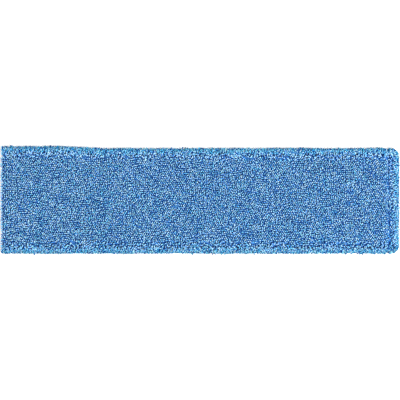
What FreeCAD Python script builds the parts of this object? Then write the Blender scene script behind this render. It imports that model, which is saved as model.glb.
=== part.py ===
"""A hook-and-loop microfibre flat-mop pad, sewn inside out as a bag, turned, and closed at its left end.

+X runs along the pad towards its turned end, +Y across it, and +Z up out of the pile.  The origin is the
centre of the flat backing face that the pad lies on.  Lengths are in millimetres.

From the table up the pad is: backing panel, foam core, fleece interlining, knitted ground cloth and loop
pile.  The three cloths are folded in along the front, rear and right edges, where their seam allowances lie
between the backing and the fleece.  The foam fills the window inside the allowances.
"""

import FreeCAD, Part
import math
import os
import Sketcher

DRIVING_DIMENSIONS = {
    # the finished pad, measured over the tips of the pile
    "pad_length": 483.0,
    "pad_width": 127.0,
    "corner_radius": 7.0,
    # the loop pile
    "pile_height": 7.6,
    "side_pile": 4.5,
    "left_pile_lean": 1.2,
    "pile_skirt": 1.2,
    "pile_roll": 5.0,
    "wale_pitch": 2.65,
    "wale_groove_width": 0.5,
    "wale_groove_depth": 2.0,
    "wale_margin": 6.5,
    # the cloths and the core
    "ground_thickness": 0.7,
    "ground_roll": 1.5,
    "ground_corner": 3.0,
    "fleece_thickness": 1.0,
    "foam_thickness": 3.8,
    "backing_thickness": 0.9,
    "seam_allowance": 12.0,
    "fold_gap": 0.15,
    "seam_gap": 0.2,
    "layer_gap": 0.1,
    # the sewing threads
    "thread_diameter": 0.5,
    "thread_sink": 0.05,
    "channel_gap": 0.2,
    "stitch_pitch": 3.2,
    "stitch_leg": 2.6,
    "seam_inset": 2.4,
    "row_margin": 4.0,
    "topstitch_inset": 13.3,
    "closing_inset": 9.0,
    "overlock_width": 5.0,
    "overlock_pitch": 3.6,
    "overlock_bend": 0.35,
    "bartack_pitch": 0.65,
    "bartack_leg": 2.4,
    "bartack_length": 8.0,
    # the blank label on the backing
    "label_length": 30.0,
    "label_width": 18.0,
    "label_thickness": 0.2,
    "label_offset": 40.0,
    "label_thread": 0.25,
    "label_pitch": 2.2,
    "label_leg": 1.7,
    "label_hem": 1.5,
}

# Places worked out from the driving dimensions.  Heights are over the table, reaches are from the origin.
HALF_LENGTH = "(dims.pad_length / 2)"
HALF_WIDTH = "(dims.pad_width / 2)"
CLOTH_LEFT = f"(dims.left_pile_lean - {HALF_LENGTH})"
CLOTH_RIGHT = f"({HALF_LENGTH} - dims.side_pile)"
CLOTH_HALF = f"({HALF_WIDTH} - dims.side_pile)"
PAST_LEFT = f"(-{HALF_LENGTH} - dims.side_pile)"
WINDOW_RIGHT = f"({CLOTH_RIGHT} - dims.seam_allowance)"
WINDOW_HALF = f"({CLOTH_HALF} - dims.seam_allowance)"

BACKING_FOLD_BOTTOM = "(dims.backing_thickness + dims.fold_gap)"
BACKING_FOLD_TOP = f"({BACKING_FOLD_BOTTOM} + dims.backing_thickness)"
GROUND_FOLD_BOTTOM = f"({BACKING_FOLD_TOP} + dims.seam_gap)"
GROUND_FOLD_TOP = f"({GROUND_FOLD_BOTTOM} + dims.ground_thickness)"
FLEECE_FOLD_TOP = f"({GROUND_FOLD_TOP} + dims.fleece_thickness)"
FLEECE_BOTTOM = "(dims.backing_thickness + dims.foam_thickness)"
GROUND_BOTTOM = f"({FLEECE_BOTTOM} + dims.fleece_thickness)"
GROUND_TOP = f"({GROUND_BOTTOM} + dims.ground_thickness)"
PILE_TOP = f"({GROUND_TOP} + dims.pile_height)"

THREAD_RADIUS = "(dims.thread_diameter / 2)"
THREAD_CHANNEL = "(dims.thread_diameter + dims.thread_sink)"
CHANNEL_HALF = f"({THREAD_RADIUS} + dims.channel_gap)"
TOPSTITCH_X = f"({HALF_LENGTH} - dims.topstitch_inset)"
CLOSING_X = f"({CLOTH_LEFT} + dims.closing_inset)"
SEAM_X = f"({CLOTH_RIGHT} - dims.seam_inset)"
SEAM_Y = f"({CLOTH_HALF} - dims.seam_inset)"
ROW_HALF = f"({CLOTH_HALF} - dims.row_margin)"
BARTACK_INNER = f"({ROW_HALF} - dims.bartack_length)"
BARTACK_HALF = f"(dims.bartack_leg / 2 + dims.channel_gap)"
OVERLOCK_RIGHT = f"({CLOTH_LEFT} + dims.overlock_width)"
OVERLOCK_NEEDLE_X = f"({OVERLOCK_RIGHT} + dims.channel_gap + {THREAD_RADIUS})"
LABEL_X = f"({CLOTH_LEFT} + dims.label_offset)"
LABEL_RECESS = "(dims.label_thread + dims.label_thickness)"
LABEL_HALF_LENGTH = "(dims.label_length / 2)"
LABEL_HALF_WIDTH = "(dims.label_width / 2)"

ALONG_X = FreeCAD.Rotation(FreeCAD.Vector(0, 1, 0), 90)
ALONG_Y = FreeCAD.Rotation(FreeCAD.Vector(1, 0, 0), -90)


def add_sheet(doc):
    """The spreadsheet that holds every driving dimension under its own alias."""
    sheet = doc.addObject("Spreadsheet::Sheet", "dims")
    for row, (alias, value) in enumerate(DRIVING_DIMENSIONS.items(), start=1):
        sheet.set(f"A{row}", alias)
        sheet.set(f"B{row}", str(value))
        sheet.setAlias(f"B{row}", alias)
    doc.recompute()


def new_body(doc, label, many=False):
    """A body for one piece.  many is for a thread whose stitches are separate solids."""
    body = doc.addObject("PartDesign::Body", label)
    body.Label = label
    body.AllowCompound = many
    return body


def origin_feature(body, role):
    """The body's own plane or axis that has this role."""
    return next(feature for feature in body.Origin.OriginFeatures if feature.Role == role)


def new_sketch(body, name, role="XY_Plane", offset=None):
    """A sketch on one of the body's origin planes, moved along the plane's normal."""
    sketch = body.newObject("Sketcher::SketchObject", name)
    sketch.AttachmentSupport = (origin_feature(body, role), [""])
    sketch.MapMode = "FlatFace"
    if offset:
        sketch.setExpression("AttachmentOffset.Base.z", offset)
    return sketch


def value_of(sketch, expression):
    """What an expression comes to now."""
    return float(sketch.evalExpression(expression))


def pin(sketch, geometry, end, axis, expression):
    """Hold one coordinate of an end point to an expression, measured from the sketch's origin."""
    value = value_of(sketch, expression)
    origin, point = (-1, 1), (geometry, end)
    first, second = (origin, point) if value >= 0 else (point, origin)
    number = sketch.addConstraint(Sketcher.Constraint(f"Distance{axis}", *first, *second, abs(value)))
    sketch.setExpression(f"Constraints[{number}]", expression if value >= 0 else f"-{expression}")


def line(x0, y0, x1, y1):
    """A straight edge between two points of a sketch."""
    return Part.LineSegment(FreeCAD.Vector(x0, y0, 0), FreeCAD.Vector(x1, y1, 0))


def arc(x, y, radius, start_degrees, end_degrees):
    """A round edge about a centre, anticlockwise between two angles."""
    circle = Part.Circle(FreeCAD.Vector(x, y, 0), FreeCAD.Vector(0, 0, 1), radius)
    return Part.ArcOfCircle(circle, math.radians(start_degrees), math.radians(end_degrees))


def add_rectangle(sketch, x0, x1, y0, y1):
    """A rectangle between two pairs of expressions."""
    left, right, low, high = (value_of(sketch, side) for side in (x0, x1, y0, y1))
    first = sketch.addGeometry(line(left, low, right, low))
    sketch.addGeometry(line(right, low, right, high))
    sketch.addGeometry(line(right, high, left, high))
    sketch.addGeometry(line(left, high, left, low))
    for side in range(4):
        after = (side + 1) % 4
        sketch.addConstraint(Sketcher.Constraint("Coincident", first + side, 2, first + after, 1))
        direction = "Horizontal" if side % 2 == 0 else "Vertical"
        sketch.addConstraint(Sketcher.Constraint(direction, first + side))
    pin(sketch, first, 1, "X", x0)
    pin(sketch, first, 1, "Y", y0)
    pin(sketch, first + 2, 1, "X", x1)
    pin(sketch, first + 2, 1, "Y", y1)


def add_outline(sketch, left, right, half, radius):
    """The pad's plan: square corners at the left end and round ones at the right end."""
    x0, x1, y, r = (value_of(sketch, size) for size in (left, right, half, radius))
    sketch.addGeometry(line(x0, -y, x1 - r, -y))
    sketch.addGeometry(arc(x1 - r, r - y, r, -90, 0))
    sketch.addGeometry(line(x1, r - y, x1, y - r))
    sketch.addGeometry(arc(x1 - r, y - r, r, 0, 90))
    sketch.addGeometry(line(x1 - r, y, x0, y))
    sketch.addGeometry(line(x0, y, x0, -y))
    for edge in range(4):
        sketch.addConstraint(Sketcher.Constraint("Tangent", edge, 2, edge + 1, 1))
    sketch.addConstraint(Sketcher.Constraint("Coincident", 4, 2, 5, 1))
    sketch.addConstraint(Sketcher.Constraint("Coincident", 5, 2, 0, 1))
    for edge, direction in ((0, "Horizontal"), (2, "Vertical"), (4, "Horizontal"), (5, "Vertical")):
        sketch.addConstraint(Sketcher.Constraint(direction, edge))
    sketch.addConstraint(Sketcher.Constraint("Equal", 1, 3))
    number = sketch.addConstraint(Sketcher.Constraint("Radius", 1, r))
    sketch.setExpression(f"Constraints[{number}]", radius)
    pin(sketch, 5, 1, "X", left)
    pin(sketch, 2, 1, "X", right)
    pin(sketch, 0, 1, "Y", f"(-{half})")
    pin(sketch, 4, 1, "Y", half)


def add_pad(body, name, sketch, height):
    """Raise a sketch upwards into a solid."""
    pad = body.newObject("PartDesign::Pad", name)
    pad.Profile = sketch
    pad.setExpression("Length", height)
    sketch.Document.recompute()
    return pad


def add_pocket(body, name, sketch, depth, up=False):
    """Cut a sketch down into the solid, or up into it."""
    pocket = body.newObject("PartDesign::Pocket", name)
    pocket.Profile = sketch
    pocket.Reversed = up
    pocket.setExpression("Length", depth)
    sketch.Document.recompute()
    return pocket


def cut_rectangles(body, name, height, depth, rectangles, up=False):
    """Cut rectangular recesses from one height, all to the same depth."""
    sketch = new_sketch(body, f"{name}_sketch", offset=height)
    for sides in rectangles:
        add_rectangle(sketch, *sides)
    return add_pocket(body, name, sketch, depth, up)


def band(x, half_breadth, half_run):
    """The sides of a band that crosses the pad at x, as far as half_run each way."""
    return (f"({x} - {half_breadth})", f"({x} + {half_breadth})", f"(-{half_run})", half_run)


def round_top_edges(body, solid, name, radius):
    """Roll the solid's top edges over along its front, right and rear sides."""
    box = solid.Shape.BoundBox
    tolerance = 1e-4
    edges = []
    for number, edge in enumerate(solid.Shape.Edges, start=1):
        on_top = edge.BoundBox.ZMin > box.ZMax - tolerance
        on_left_end = edge.BoundBox.XMax < box.XMin + tolerance
        if on_top and not on_left_end:
            edges.append(f"Edge{number}")
    fillet = body.newObject("PartDesign::Fillet", name)
    fillet.Base = (solid, edges)
    fillet.setExpression("Radius", radius)
    body.Document.recompute()
    return fillet


def make_backing_panel(doc):
    """The brushed loop cloth that a frame's hook strips hold, folded up and in along three edges."""
    body = new_body(doc, "backing_panel")
    outline = new_sketch(body, "backing_outline")
    add_outline(outline, CLOTH_LEFT, CLOTH_RIGHT, CLOTH_HALF, "dims.ground_corner")
    add_pad(body, "backing_block", outline, BACKING_FOLD_TOP)
    fold = (PAST_LEFT, f"({CLOTH_RIGHT} - dims.backing_thickness)",
            f"(dims.backing_thickness - {CLOTH_HALF})", f"({CLOTH_HALF} - dims.backing_thickness)")
    cut_rectangles(body, "backing_fold_gap", BACKING_FOLD_BOTTOM, "dims.fold_gap", [fold])
    window = (PAST_LEFT, WINDOW_RIGHT, f"(-{WINDOW_HALF})", WINDOW_HALF)
    cut_rectangles(body, "backing_window", BACKING_FOLD_TOP,
                   f"({BACKING_FOLD_TOP} - dims.backing_thickness)", [window])
    cut_rectangles(body, "backing_seam_channels", BACKING_FOLD_BOTTOM, THREAD_CHANNEL,
                   seam_channels(), up=True)
    cut_rectangles(body, "backing_stitch_channels", "0", THREAD_CHANNEL, [
        band(TOPSTITCH_X, CHANNEL_HALF, ROW_HALF),
        band(CLOSING_X, BARTACK_HALF, ROW_HALF),
        (PAST_LEFT, f"({OVERLOCK_RIGHT} + dims.channel_gap)", f"(-{CLOTH_HALF} - dims.row_margin)",
         f"({CLOTH_HALF} + dims.row_margin)"),
    ], up=True)
    label_sides = band(LABEL_X, f"({LABEL_HALF_LENGTH} + dims.layer_gap)",
                       f"({LABEL_HALF_WIDTH} + dims.layer_gap)")
    cut_rectangles(body, "backing_label_recess", "0", LABEL_RECESS, [label_sides], up=True)
    return body


def seam_channels():
    """Where the threads of the front, rear and right seams press into the folded allowances."""
    inner = f"({SEAM_Y} - {CHANNEL_HALF})"
    outer = f"({SEAM_Y} + {CHANNEL_HALF})"
    run_end = f"({SEAM_X} - dims.stitch_pitch)"
    return [
        (PAST_LEFT, run_end, f"(-{outer})", f"(-{inner})"),
        (PAST_LEFT, run_end, inner, outer),
        band(SEAM_X, CHANNEL_HALF, SEAM_Y),
    ]


def make_foam_core(doc):
    """The open-cell foam that holds the water, cut to lie inside the seam allowances."""
    body = new_body(doc, "foam_core")
    sketch = new_sketch(body, "foam_outline", offset="dims.backing_thickness")
    half = f"({WINDOW_HALF} - dims.layer_gap)"
    add_rectangle(sketch, CLOTH_LEFT, f"({WINDOW_RIGHT} - dims.layer_gap)", f"(-{half})", half)
    add_pad(body, "foam_block", sketch, "dims.foam_thickness")
    return body


def make_fleece_interlining(doc):
    """The needled fleece under the ground cloth, folded in with it."""
    body = new_body(doc, "fleece_interlining")
    inset = "(dims.ground_thickness + dims.layer_gap)"
    right = f"({CLOTH_RIGHT} - {inset})"
    half = f"({CLOTH_HALF} - {inset})"
    outline = new_sketch(body, "fleece_outline", offset=GROUND_FOLD_TOP)
    add_outline(outline, CLOTH_LEFT, right, half, f"(dims.ground_corner - {inset})")
    add_pad(body, "fleece_block", outline, f"({GROUND_BOTTOM} - {GROUND_FOLD_TOP})")
    fold_half = f"({half} - dims.fleece_thickness)"
    fold = (PAST_LEFT, f"({right} - dims.fleece_thickness)", f"(-{fold_half})", fold_half)
    cut_rectangles(body, "fleece_fold_gap", FLEECE_BOTTOM, f"({FLEECE_BOTTOM} - {FLEECE_FOLD_TOP})", [fold])
    window = (PAST_LEFT, WINDOW_RIGHT, f"(-{WINDOW_HALF})", WINDOW_HALF)
    cut_rectangles(body, "fleece_window", FLEECE_FOLD_TOP, "dims.fleece_thickness", [window])
    cut_rectangles(body, "fleece_seam_channels", FLEECE_FOLD_TOP, THREAD_CHANNEL, seam_channels())
    return body


def make_ground_cloth(doc):
    """The knitted ground that carries the pile, rolled over the edges and folded in."""
    body = new_body(doc, "pile_ground_cloth")
    outline = new_sketch(body, "ground_outline", offset=GROUND_FOLD_BOTTOM)
    add_outline(outline, CLOTH_LEFT, CLOTH_RIGHT, CLOTH_HALF, "dims.ground_corner")
    block = add_pad(body, "ground_block", outline, f"({GROUND_TOP} - {GROUND_FOLD_BOTTOM})")
    round_top_edges(body, block, "ground_roll", "dims.ground_roll")
    cavity = new_sketch(body, "ground_cavity_outline", offset=GROUND_BOTTOM)
    add_outline(cavity, PAST_LEFT, f"({CLOTH_RIGHT} - dims.ground_thickness)",
                f"({CLOTH_HALF} - dims.ground_thickness)", "(dims.ground_corner - dims.ground_thickness)")
    add_pocket(body, "ground_cavity", cavity, f"({GROUND_BOTTOM} - {GROUND_FOLD_TOP})")
    window = (PAST_LEFT, WINDOW_RIGHT, f"(-{WINDOW_HALF})", WINDOW_HALF)
    cut_rectangles(body, "ground_window", GROUND_FOLD_TOP, "dims.ground_thickness", [window])
    return body


def make_loop_pile(doc):
    """The pile as the cap that its loops fill: over the top and down the three turned edges."""
    body = new_body(doc, "loop_pile")
    outline = new_sketch(body, "pile_outline", offset="dims.pile_skirt")
    add_outline(outline, f"(-{HALF_LENGTH})", HALF_LENGTH, HALF_WIDTH, "dims.corner_radius")
    block = add_pad(body, "pile_block", outline, f"({PILE_TOP} - dims.pile_skirt)")
    round_top_edges(body, block, "pile_roll", "dims.pile_roll")
    nest = new_sketch(body, "pile_nest_outline", offset="dims.pile_skirt")
    add_outline(nest, PAST_LEFT, f"({CLOTH_RIGHT} + dims.layer_gap)",
                f"({CLOTH_HALF} + dims.layer_gap)", "(dims.ground_corner + dims.layer_gap)")
    add_pocket(body, "pile_nest", nest, f"({GROUND_TOP} - dims.pile_skirt)", up=True)
    overlock_band = (PAST_LEFT, f"({OVERLOCK_NEEDLE_X} + {CHANNEL_HALF})",
                     f"(-{CLOTH_HALF} - dims.layer_gap)", f"({CLOTH_HALF} + dims.layer_gap)")
    cut_rectangles(body, "pile_stitch_channels", GROUND_TOP, THREAD_CHANNEL, [
        band(TOPSTITCH_X, CHANNEL_HALF, ROW_HALF),
        band(CLOSING_X, BARTACK_HALF, ROW_HALF),
        overlock_band,
    ], up=True)
    add_wale_grooves(body)
    return body


def add_wale_grooves(body):
    """The furrows between one pile yarn's row of loops and the next."""
    first = f"(dims.wale_margin - {HALF_WIDTH})"
    count = f"(floor(({HALF_WIDTH} - dims.wale_margin) * 2 / dims.wale_pitch) + 1)"
    right = f"({HALF_LENGTH} - dims.wale_margin)"
    sides = (PAST_LEFT, right, first, f"({first} + dims.wale_groove_width)")
    groove = cut_rectangles(body, "wale_groove", PILE_TOP, "dims.wale_groove_depth", [sides])
    repeat(body, "wale_grooves", groove, "Y_Axis", count, "dims.wale_pitch")


def repeat(body, name, feature, axis, count, pitch):
    """Repeat a feature along one of the body's axes, and make the result the body's shape."""
    pattern = body.newObject("PartDesign::LinearPattern", name)
    pattern.Originals = [feature]
    pattern.Direction = (origin_feature(body, axis), [""])
    pattern.setExpression("Occurrences", count)
    pattern.setExpression("Length", f"(({count} - 1) * {pitch})")
    body.Tip = pattern
    body.Document.recompute()
    return pattern


def add_leg(body, name, rotation, start, leg, diameter):
    """One stitch's leg: the stretch of thread that lies on a cloth's face."""
    cylinder = body.newObject("PartDesign::AdditiveCylinder", name)
    cylinder.Placement = FreeCAD.Placement(FreeCAD.Vector(0, 0, 0), rotation)
    cylinder.setExpression("Radius", f"({diameter} / 2)")
    cylinder.setExpression("Height", leg)
    for axis, place in zip("xyz", start):
        cylinder.setExpression(f"Placement.Base.{axis}", place)
    body.Document.recompute()
    return cylinder


def make_row(doc, label, run, start, end, fixed, height):
    """A row of lockstitches.  run is X or Y, start and end are along it, fixed is the other coordinate."""
    body = new_body(doc, label, many=True)
    rotation = ALONG_X if run == "X" else ALONG_Y
    place = (start, fixed, height) if run == "X" else (fixed, start, height)
    leg = add_leg(body, f"{label}_leg", rotation, place, "dims.stitch_leg", "dims.thread_diameter")
    count = f"(floor(({end} - {start} - dims.stitch_leg) / dims.stitch_pitch) + 1)"
    repeat(body, f"{label}_row", leg, f"{run}_Axis", count, "dims.stitch_pitch")
    return body


def make_hidden_seams(doc):
    """The seams that join the cloths inside the front, rear and right edges."""
    needle_height = f"({FLEECE_FOLD_TOP} - {THREAD_RADIUS} - dims.thread_sink)"
    bobbin_height = f"({BACKING_FOLD_BOTTOM} + {THREAD_CHANNEL} - {THREAD_RADIUS})"
    run_end = f"({SEAM_X} - dims.stitch_pitch)"
    cross_half = f"({SEAM_Y} - {CHANNEL_HALF})"
    bodies = []
    for thread, height in (("needle", needle_height), ("bobbin", bobbin_height)):
        for side, fixed in (("front", f"(-{SEAM_Y})"), ("rear", SEAM_Y)):
            label = f"{side}_seam_{thread}_thread"
            bodies.append(make_row(doc, label, "X", CLOTH_LEFT, run_end, fixed, height))
        label = f"right_seam_{thread}_thread"
        bodies.append(make_row(doc, label, "Y", f"(-{cross_half})", cross_half, SEAM_X, height))
    return bodies


def make_cross_rows(doc):
    """The topstitching near the right end, the closing row and the overlock's needle thread at the left."""
    top_height = f"({GROUND_TOP} + {THREAD_RADIUS})"
    under_height = f"({THREAD_CHANNEL} - {THREAD_RADIUS})"
    closing_half = f"({BARTACK_INNER} - dims.channel_gap)"
    rows = (
        ("right_topstitch_needle_thread", TOPSTITCH_X, ROW_HALF, top_height),
        ("right_topstitch_bobbin_thread", TOPSTITCH_X, ROW_HALF, under_height),
        ("left_closing_needle_thread", CLOSING_X, closing_half, top_height),
        ("left_closing_bobbin_thread", CLOSING_X, closing_half, under_height),
        ("left_overlock_needle_thread", OVERLOCK_NEEDLE_X, ROW_HALF, top_height),
    )
    return [make_row(doc, label, "Y", f"(-{half})", half, x, height) for label, x, half, height in rows]


def make_bartack(doc, side, sign):
    """The dense tack that locks one end of the closing row, above and below the pad."""
    label = f"{side}_left_bartack"
    body = new_body(doc, label, many=True)
    start_y = f"(-{ROW_HALF} + dims.bartack_pitch / 2)" if sign < 0 else \
        f"({BARTACK_INNER} + dims.bartack_pitch / 2)"
    start_x = f"({CLOSING_X} - dims.bartack_leg / 2)"
    count = "(floor(dims.bartack_length / dims.bartack_pitch))"
    heights = {"upper": f"({GROUND_TOP} + {THREAD_RADIUS})", "lower": f"({THREAD_CHANNEL} - {THREAD_RADIUS})"}
    for name, height in heights.items():
        leg = add_leg(body, f"{label}_{name}_leg", ALONG_X, (start_x, start_y, height), "dims.bartack_leg",
                      "dims.thread_diameter")
        repeat(body, f"{label}_{name}_tack", leg, "Y_Axis", count, "dims.bartack_pitch")
    return body


def make_overlock_loops(doc):
    """The looper thread's loops, each bent round the cut left end from the pile side to the backing."""
    label = "left_overlock_looper_thread"
    body = new_body(doc, label, many=True)
    path = new_sketch(body, "overlock_path", "XZ_Plane", f"({ROW_HALF})")
    expressions = (OVERLOCK_RIGHT, f"({CLOTH_LEFT} - {THREAD_RADIUS})",
                   f"({THREAD_CHANNEL} - {THREAD_RADIUS})", f"({GROUND_TOP} + {THREAD_RADIUS})",
                   "dims.overlock_bend")
    right, left, low, high, bend = (value_of(path, expression) for expression in expressions)
    path.addGeometry(line(right, high, left + bend, high))
    path.addGeometry(arc(left + bend, high - bend, bend, 90, 180))
    path.addGeometry(line(left, high - bend, left, low + bend))
    path.addGeometry(arc(left + bend, low + bend, bend, 180, 270))
    path.addGeometry(line(left + bend, low, right, low))
    for edge in range(4):
        path.addConstraint(Sketcher.Constraint("Tangent", edge, 2, edge + 1, 1))
    for edge, direction in ((0, "Horizontal"), (2, "Vertical"), (4, "Horizontal")):
        path.addConstraint(Sketcher.Constraint(direction, edge))
    path.addConstraint(Sketcher.Constraint("Equal", 1, 3))
    number = path.addConstraint(Sketcher.Constraint("Radius", 1, bend))
    path.setExpression(f"Constraints[{number}]", expressions[4])
    pin(path, 0, 1, "X", expressions[0])
    pin(path, 4, 2, "X", expressions[0])
    pin(path, 2, 1, "X", expressions[1])
    pin(path, 4, 2, "Y", expressions[2])
    pin(path, 0, 1, "Y", expressions[3])
    section = new_sketch(body, "overlock_section", "YZ_Plane", OVERLOCK_RIGHT)
    centre = FreeCAD.Vector(-value_of(section, ROW_HALF), high, 0)
    section.addGeometry(Part.Circle(centre, FreeCAD.Vector(0, 0, 1), value_of(section, THREAD_RADIUS)))
    number = section.addConstraint(Sketcher.Constraint("Radius", 0, value_of(section, THREAD_RADIUS)))
    section.setExpression(f"Constraints[{number}]", THREAD_RADIUS)
    pin(section, 0, 3, "X", f"(-{ROW_HALF})")
    pin(section, 0, 3, "Y", expressions[3])
    pipe = body.newObject("PartDesign::AdditivePipe", "overlock_loop")
    pipe.Profile = section
    pipe.Spine = path
    doc.recompute()
    count = f"(floor(2 * {ROW_HALF} / dims.overlock_pitch) + 1)"
    repeat(body, "overlock_loops", pipe, "Y_Axis", count, "dims.overlock_pitch")
    return body


def make_label(doc):
    """A blank woven label that lies in its recess in the backing."""
    body = new_body(doc, "blank_label")
    sketch = new_sketch(body, "label_outline", offset="dims.label_thread")
    add_rectangle(sketch, *band(LABEL_X, LABEL_HALF_LENGTH, LABEL_HALF_WIDTH))
    add_pad(body, "label_block", sketch, "dims.label_thickness")
    return body


def make_label_stitches(doc):
    """The two rows of fine stitches along the label's short edges."""
    body = new_body(doc, "blank_label_thread", many=True)
    reach = f"({LABEL_HALF_LENGTH} - dims.label_hem)"
    start_y = f"(dims.label_hem - {LABEL_HALF_WIDTH})"
    run = f"(2 * ({LABEL_HALF_WIDTH} - dims.label_hem) - dims.label_leg)"
    count = f"(floor({run} / dims.label_pitch) + 1)"
    for name, sign in (("left", "-"), ("right", "+")):
        place = (f"({LABEL_X} {sign} {reach})", start_y, "(dims.label_thread / 2)")
        leg = add_leg(body, f"label_{name}_leg", ALONG_Y, place, "dims.label_leg", "dims.label_thread")
        repeat(body, f"label_{name}_row", leg, "Y_Axis", count, "dims.label_pitch")
    return body


def check(doc, bodies):
    """Stop if an object failed, a cut took nothing away, or a piece isn't whole and valid."""
    for item in doc.Objects:
        if "Invalid" in item.State or "Error" in item.State:
            raise RuntimeError(f"{item.Name} failed: {item.State}")
        if item.TypeId == "PartDesign::Pocket":
            before = item.BaseFeature.Shape.Volume
            if item.Shape.Volume >= before:
                raise RuntimeError(f"{item.Name} cuts nothing")
    for body in bodies:
        if body.Shape.isNull() or not body.Shape.isValid() or not body.Shape.Solids:
            raise RuntimeError(f"{body.Label} has no valid shape")
        if not body.AllowCompound and len(body.Shape.Solids) != 1:
            raise RuntimeError(f"{body.Label} is in {len(body.Shape.Solids)} pieces")


def main():
    doc = FreeCAD.newDocument("flat_mop_pad")
    add_sheet(doc)
    bodies = [
        make_backing_panel(doc),
        make_foam_core(doc),
        make_fleece_interlining(doc),
        make_ground_cloth(doc),
        make_loop_pile(doc),
        *make_hidden_seams(doc),
        *make_cross_rows(doc),
        make_bartack(doc, "front", -1),
        make_bartack(doc, "rear", 1),
        make_overlock_loops(doc),
        make_label(doc),
        make_label_stitches(doc),
    ]
    doc.recompute()
    check(doc, bodies)
    os.makedirs("parts", exist_ok=True)
    for body in bodies:
        body.Shape.exportStep(f"parts/{body.Label}.step")
        box = body.Shape.BoundBox
        print(f"{body.Label}: {len(body.Shape.Solids)} solid(s), {body.Shape.Volume:.1f} mm3, "
              f"{box.XLength:.1f} x {box.YLength:.1f} x {box.ZLength:.1f} mm from z {box.ZMin:.2f}")


main()
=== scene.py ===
import math

import bpy
import numpy as np
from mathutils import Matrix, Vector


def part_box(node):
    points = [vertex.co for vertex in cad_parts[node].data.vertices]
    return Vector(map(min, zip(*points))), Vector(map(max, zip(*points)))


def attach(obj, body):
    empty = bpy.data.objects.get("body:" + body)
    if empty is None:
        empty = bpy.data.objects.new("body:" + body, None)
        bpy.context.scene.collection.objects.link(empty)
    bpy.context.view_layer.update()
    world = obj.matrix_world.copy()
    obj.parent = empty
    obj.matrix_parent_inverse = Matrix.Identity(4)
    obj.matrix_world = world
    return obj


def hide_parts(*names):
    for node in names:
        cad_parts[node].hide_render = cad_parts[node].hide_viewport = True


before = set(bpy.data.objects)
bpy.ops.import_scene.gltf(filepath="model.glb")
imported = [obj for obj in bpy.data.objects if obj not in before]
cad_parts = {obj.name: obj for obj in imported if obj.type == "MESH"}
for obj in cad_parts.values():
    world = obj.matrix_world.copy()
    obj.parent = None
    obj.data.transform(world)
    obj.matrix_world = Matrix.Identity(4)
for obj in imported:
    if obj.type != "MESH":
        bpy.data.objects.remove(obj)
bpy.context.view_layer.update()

# ---- sizes from the frame, in metres --------------------------------------------------------------------
PILE_LOW, PILE_HIGH = (np.array(corner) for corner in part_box("loop_pile"))
GROUND_LOW, GROUND_HIGH = (np.array(corner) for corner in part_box("pile_ground_cloth"))
FLEECE_LOW, FLEECE_HIGH = (np.array(corner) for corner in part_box("fleece_interlining"))
FOAM_LOW, FOAM_HIGH = (np.array(corner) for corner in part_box("foam_core"))
BACKING_LOW, BACKING_HIGH = (np.array(corner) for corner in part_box("backing_panel"))
LABEL_LOW, LABEL_HIGH = (np.array(corner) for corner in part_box("blank_label"))
TOPSTITCH_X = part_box("right_topstitch_bobbin_thread")[0][0]
CLOSING_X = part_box("left_closing_bobbin_thread")[0][0]

CLOTH_LEFT = GROUND_LOW[0]
CLOTH_RIGHT = GROUND_HIGH[0]
CLOTH_HALF = GROUND_HIGH[1]
ALLOWANCE = CLOTH_HALF - FOAM_HIGH[1]
GROUND_ROLL = (GROUND_HIGH[2] - GROUND_LOW[2]) / 2

# ---- the cloths, the foam and the sewing, in metres -----------------------------------------------------
GROUND_THICKNESS = 0.0007
FLEECE_THICKNESS = 0.0010
BACKING_THICKNESS = 0.0009
SQUEEZE = 0.64
CORNER_RADIUS = 0.003
SHEET_GRID = (24, 160)

LEFT_FLARE = 0.0024
FLARE_FULL_X = PILE_LOW[0] + 0.070
FLARE_NONE_X = PILE_LOW[0] + 0.135
EDGE_WANDER = 0.00015

PRESS_DEPTH = 0.0008
PRESS_REACH = 0.0017
SEAM_REACH = 0.0009
LEFT_PRESS_START = CLOTH_LEFT + 0.016

THREAD_RADIUS = 0.00025
STITCH_PITCH = 0.0032
STITCH_DEPTH = 0.0009
TOPSTITCH_REACH = 0.0009
CLOSING_REACH = 0.0012
LEFT_SEWN = (0.004, 0.007)
LABEL_MARGIN = 0.0016
FOAM_NIBBLE = 0.0002

# ---- the pile, in metres and radians --------------------------------------------------------------------
WALE_PITCH = 0.0021
COURSE_PITCH = 0.0024
FIRST_COURSE = CLOTH_LEFT + 0.0004
MOST_LOOPS = 1150
YARN_RADIUS = 0.00067
PLIES = 2
PLY_RADIUS = 0.00037
PLY_OFFSET = 0.00030
PLY_TURNS = 1.1
LOOP_POINTS = 11
PLY_SIDES = 4
LOOP_WIDTH = 0.0014
LOOP_FEET = (0.0003, 0.0005)
LOOP_WIDTHS = (0.7, 1.15)
ROOT_DEPTH = 0.0004
MOST_SWAY = 0.0005
MOST_TWIST = 1.2
ROW_SHIFT = 0.0008
EDGE_BAND = 0.009
EDGE_SCATTER = 0.36
MIDDLE_SCATTER = 0.12
SIDE_PILE = PILE_HIGH[1] - CLOTH_HALF + 0.0004
DENSE_ANGLE = 0.16
TIP_START = 0.45
TIP_REACH = 0.007
PILE_HEIGHT = PILE_HIGH[2] - GROUND_HIGH[2]
FAN_RADIUS = 0.0050
FAN_ANGLE = 2.1
LOOP_HEIGHTS = (0.86, 1.03)
STRAY_HEIGHT = 0.16
MOST_LEAN = 0.0007
SLOW_LEAN = 0.00015
RIM_LEAN = 0.0008
LEFT_LEAN = 0.0012
LEFT_REACH = 0.007
MIDDLE_TINT = 0.475
TINT_SPREAD = 0.11
RIM_SPREAD = 0.07
# Painted shade on the rolled edges, and more where the loops point down.
RIM_PAINTED_SHADE = 0.15
LOW_RIM_PAINTED_SHADE = 0.12
# Painted light where the rear edge starts to roll, and painted shade on the rear rim.
REAR_PAINTED_LIGHT = 0.11
REAR_RIM_PAINTED_SHADE = 0.09
# Painted shade along the left end.
LEFT_PAINTED_SHADE = 0.10
# Painted shade across the creases.
CREASE_PAINTED_SHADE = 0.06
PLY_TINTS = np.array([-0.41, 0.41])
SEED = 7

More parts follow.
